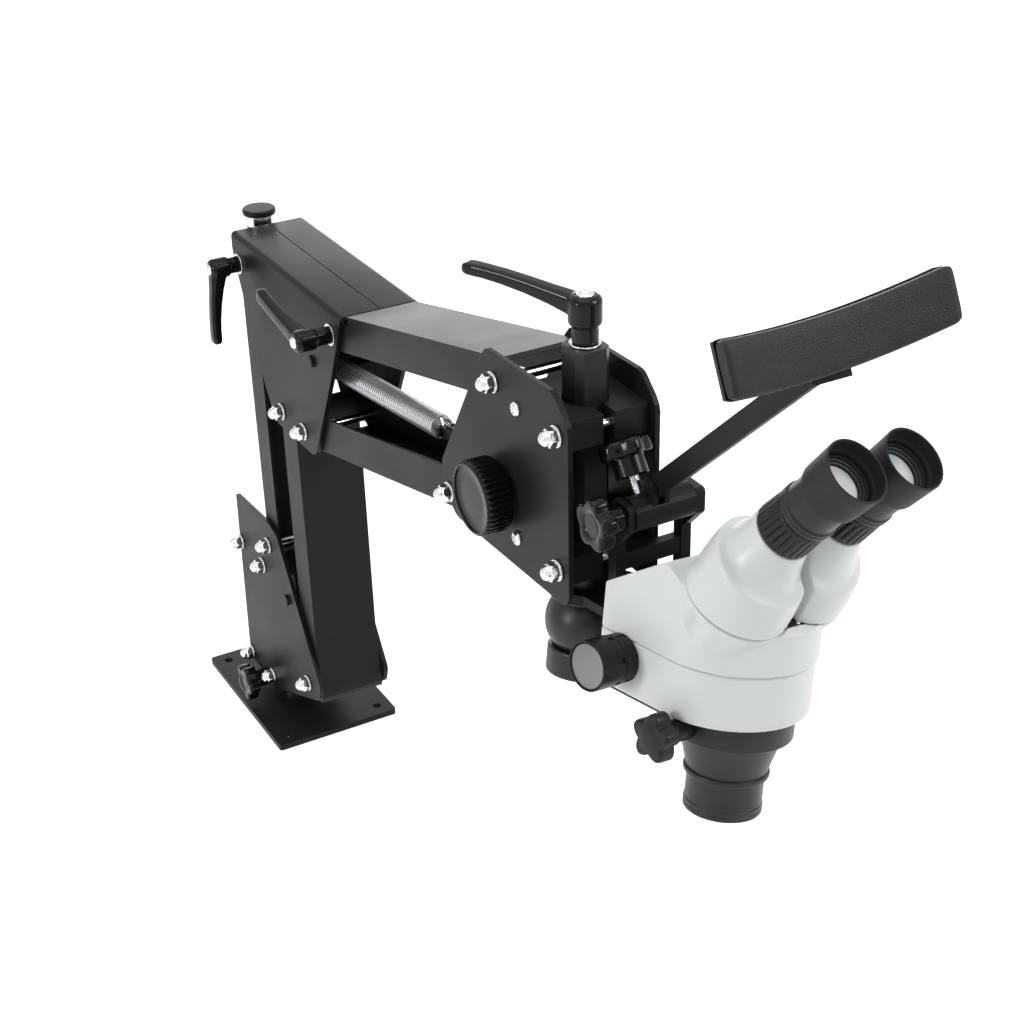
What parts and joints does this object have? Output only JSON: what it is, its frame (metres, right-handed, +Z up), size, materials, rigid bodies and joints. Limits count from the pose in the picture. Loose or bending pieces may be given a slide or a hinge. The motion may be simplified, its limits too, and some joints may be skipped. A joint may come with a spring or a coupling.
{
  "type": "stereo zoom microscope on articulated boom stand",
  "caption": "Binocular stereo zoom microscope in a ball-jointed clamp ring on a spring-balanced parallelogram boom stand with base plate and forehead rest",
  "frame": {"origin": "centre of the base plate's underside", "axes": "+X from the base plate towards the microscope, +Y to the far side, +Z up"},
  "size_m": [0.9281, 0.1982, 0.7199],
  "materials": {
    "powder_coat": "fine satin black powder coat",
    "zinc": "bright zinc plate",
    "spring_steel": "bright wire",
    "knob_plastic": "glossy black moulding",
    "knob_matte": "fine matte black moulding",
    "black_anodised": "satin black anodised",
    "white_paint": "smooth cool white enamel",
    "soft_rubber": "soft matte rubber",
    "pad_cover": "grained black cover over foam",
    "white_nylon": "natural white nylon"
  },
  "bodies": {
    "base": {"base_plate": "powder_coat", "swivel_post": "zinc"},
    "bracket": {"swivel_block_low": "powder_coat", "swivel_block_up": "powder_coat", "swivel_block_low_bolt_rear": "zinc", "swivel_block_low_bolt_front": "zinc", "swivel_block_up_bolt_rear": "zinc", "swivel_block_up_bolt_front": "zinc", "base_side_near": "powder_coat", "base_side_far": "powder_coat", "rear_post_bolt_low": "zinc", "front_post_bolt_low": "zinc"},
    "base_clamp": {"swivel_knob": "knob_plastic"},
    "post_front": {"front_post": "powder_coat"},
    "post_rear": {"rear_post": "powder_coat"},
    "spring_of_posts": {"post_spring": "spring_steel"},
    "elbow": {"elbow_hood": "powder_coat", "front_post_bolt_top": "zinc", "lower_bar_bolt_rear": "zinc"},
    "lever_of_posts": {"post_lever": "knob_plastic"},
    "lever_of_bars": {"elbow_lever": "knob_plastic"},
    "tension": {"tension_knob": "knob_plastic"},
    "bar_upper": {"upper_bar": "powder_coat"},
    "bar_lower": {"lower_bar": "powder_coat"},
    "head": {"head_plate_near": "powder_coat", "head_plate_far": "powder_coat", "column_block_up": "powder_coat", "column_block_low": "powder_coat", "column_block_up_bolt": "zinc", "column_block_low_bolt": "zinc", "upper_bar_bolt_front": "zinc", "lower_bar_bolt_front": "zinc"},
    "balance_knob": {"spring_knob": "knob_plastic"},
    "balance_link": {"spring_yoke": "powder_coat", "boom_spring": "spring_steel"},
    "neck": {"column": "black_anodised", "column_washer": "white_nylon", "rest_frame": "powder_coat"},
    "lever_of_neck": {"column_lever": "knob_plastic"},
    "ball_piece": {"ball": "black_anodised"},
    "carrier": {"ball_cup": "black_anodised"},
    "ring_clamp": {"ring_knob": "knob_plastic"},
    "microscope": {"objective": "black_anodised", "body_lower": "white_paint", "body_upper": "white_paint"},
    "zoom_near": {"zoom_knob_near": "knob_matte"},
    "zoom_far": {"zoom_knob_far": "knob_matte"},
    "eye_near": {"prism_housing_near": "white_paint", "eyepiece_near": "black_anodised", "eyecup_near": "soft_rubber"},
    "eye_far": {"prism_housing_far": "white_paint", "eyepiece_far": "black_anodised", "eyecup_far": "soft_rubber"},
    "diopter_ring_near": {"diopter_near": "knob_matte"},
    "diopter_ring_far": {"diopter_far": "knob_matte"},
    "rest": {"rest_sleeve": "powder_coat", "rest_arm": "powder_coat", "rest_pad": "pad_cover"},
    "rest_side_clamp": {"rest_side_knob": "knob_plastic"},
    "rest_lock": {"rest_lock_knob": "knob_plastic"}
  },
  "joints": [
    {"name": "base_swivel", "type": "hinge", "parent": "base", "child": "bracket", "pos_m": [-0.01, 0, 0.1], "axis": [0, 0, 1], "range_deg": [-90, 90]},
    {"name": "base_clamp_turn", "type": "hinge", "parent": "bracket", "child": "base_clamp", "pos_m": [0.002, -0.0366, 0.029], "axis": [0, -1, 0], "range_deg": [-60, 60]},
    {"name": "posts_swing", "type": "hinge", "parent": "bracket", "child": "post_front", "pos_m": [0.115, 0, 0.0845], "axis": [0, 1, 0], "range_deg": [-8, 25], "deforming": ["post_spring"]},
    {"name": "rear_post_swing", "type": "hinge", "parent": "bracket", "child": "post_rear", "pos_m": [0.038, 0, 0.203], "axis": [0, 1, 0], "range_deg": [-8, 25]},
    {"name": "post_spring_swing", "type": "hinge", "parent": "bracket", "child": "spring_of_posts", "pos_m": [-0.004, 0, 0.196], "axis": [0, 1, 0], "range_deg": [-9, 26.5]},
    {"name": "elbow_level", "type": "hinge", "parent": "post_front", "child": "elbow", "pos_m": [0.1065, 0, 0.3775], "axis": [0, 1, 0], "range_deg": [-25, 8]},
    {"name": "post_lever_turn", "type": "hinge", "parent": "elbow", "child": "lever_of_posts", "pos_m": [0.0295, -0.0366, 0.496], "axis": [0, -1, 0], "range_deg": [-20, 20]},
    {"name": "elbow_lever_turn", "type": "hinge", "parent": "elbow", "child": "lever_of_bars", "pos_m": [0.231, -0.0366, 0.5], "axis": [0, -1, 0], "range_deg": [-20, 20]},
    {"name": "tension_turn", "type": "hinge", "parent": "elbow", "child": "tension", "pos_m": [-0.004, 0, 0.5233], "axis": [0, 0, 1], "range_deg": [-80, 80]},
    {"name": "bars_swing", "type": "hinge", "parent": "elbow", "child": "bar_upper", "pos_m": [0.231, 0, 0.5], "axis": [0, 1, 0], "range_deg": [-1, 35], "deforming": ["boom_spring"]},
    {"name": "lower_bar_swing", "type": "hinge", "parent": "elbow", "child": "bar_lower", "pos_m": [0.156, 0, 0.378], "axis": [0, 1, 0], "range_deg": [-1, 35]},
    {"name": "head_level", "type": "hinge", "parent": "bar_upper", "child": "head", "pos_m": [0.518, 0, 0.57], "axis": [0, 1, 0], "range_deg": [-35, 1]},
    {"name": "balance_knob_turn", "type": "hinge", "parent": "head", "child": "balance_knob", "pos_m": [0.5246, -0.0366, 0.4857], "axis": [0, -1, 0], "range_deg": [-120, 120]},
    {"name": "balance_link_swing", "type": "hinge", "parent": "head", "child": "balance_link", "pos_m": [0.5246, 0, 0.4857], "axis": [0, 1, 0], "range_deg": [-1, 28]},
    {"name": "column_swivel", "type": "hinge", "parent": "head", "child": "neck", "pos_m": [0.583, 0, 0.4323], "axis": [0, 0, 1], "range_deg": [-10, 6]},
    {"name": "column_lever_turn", "type": "hinge", "parent": "neck", "child": "lever_of_neck", "pos_m": [0.583, 0, 0.6171], "axis": [0, 0, 1], "range_deg": [-25, 25]},
    {"name": "ball_pitch", "type": "hinge", "parent": "neck", "child": "ball_piece", "pos_m": [0.583, 0, 0.397], "axis": [0, 1, 0], "range_deg": [-2, 12]},
    {"name": "ball_roll", "type": "hinge", "parent": "ball_piece", "child": "carrier", "pos_m": [0.583, 0, 0.397], "axis": [1, 0, 0], "range_deg": [-5, 10]},
    {"name": "ring_clamp_turn", "type": "hinge", "parent": "carrier", "child": "ring_clamp", "pos_m": [0.73901, -0.01604, 0.39984], "axis": [0.1702, -0.9685, 0.1817], "range_deg": [-60, 60]},
    {"name": "microscope_turn", "type": "hinge", "parent": "carrier", "child": "microscope", "pos_m": [0.73186, 0.02673, 0.40003], "axis": [-0.1099, 0.1646, 0.9802], "range_deg": [-8, 1]},
    {"name": "zoom_turn", "type": "hinge", "parent": "microscope", "child": "zoom_near", "pos_m": [0.68548, -0.03235, 0.43127], "axis": [-0.1702, 0.9685, -0.1817], "range_deg": [-100, 100]},
    {"name": "zoom_turn_far", "type": "hinge", "parent": "microscope", "child": "zoom_far", "pos_m": [0.66676, 0.07419, 0.41128], "axis": [-0.1702, 0.9685, -0.1817], "range_deg": [-100, 100]},
    {"name": "eye_swing", "type": "hinge", "parent": "microscope", "child": "eye_near", "pos_m": [0.74419, 0.01875, 0.49456], "axis": [0.3627, 0.233, 0.9023], "range_deg": [-8, 0]},
    {"name": "eye_swing_far", "type": "hinge", "parent": "microscope", "child": "eye_far", "pos_m": [0.735, 0.07105, 0.48475], "axis": [0.3627, 0.233, 0.9023], "range_deg": [0, 8]},
    {"name": "diopter_turn_near", "type": "hinge", "parent": "eye_near", "child": "diopter_ring_near", "pos_m": [0.76273, 0.03094, 0.54221], "axis": [0.5943, 0.2479, 0.765], "range_deg": [-90, 90]},
    {"name": "diopter_turn_far", "type": "hinge", "parent": "eye_far", "child": "diopter_ring_far", "pos_m": [0.75354, 0.08324, 0.5324], "axis": [0.5943, 0.2479, 0.765], "range_deg": [-90, 90]},
    {"name": "rest_tilt", "type": "hinge", "parent": "neck", "child": "rest", "pos_m": [0.645, 0.0165, 0.513], "axis": [0, 1, 0], "range_deg": [-6, 8]},
    {"name": "rest_side_turn", "type": "hinge", "parent": "neck", "child": "rest_side_clamp", "pos_m": [0.645, -0.004, 0.513], "axis": [0, -1, 0], "range_deg": [-60, 60]},
    {"name": "rest_lock_turn", "type": "hinge", "parent": "rest", "child": "rest_lock", "pos_m": [0.63787, 0.0085, 0.52326], "axis": [-0.5708, 0, 0.8211], "range_deg": [-60, 60]}
  ],
  "couplings": [
    {"joint": "rear_post_swing", "follows": "posts_swing", "ratio": 1},
    {"joint": "post_spring_swing", "follows": "posts_swing", "ratio": 1.03},
    {"joint": "elbow_level", "follows": "posts_swing", "ratio": -1},
    {"joint": "lower_bar_swing", "follows": "bars_swing", "ratio": 1},
    {"joint": "head_level", "follows": "bars_swing", "ratio": -1},
    {"joint": "balance_link_swing", "follows": "bars_swing", "ratio": 0.772},
    {"joint": "zoom_turn_far", "follows": "zoom_turn", "ratio": 1},
    {"joint": "eye_swing_far", "follows": "eye_swing", "ratio": -1}
  ]
}
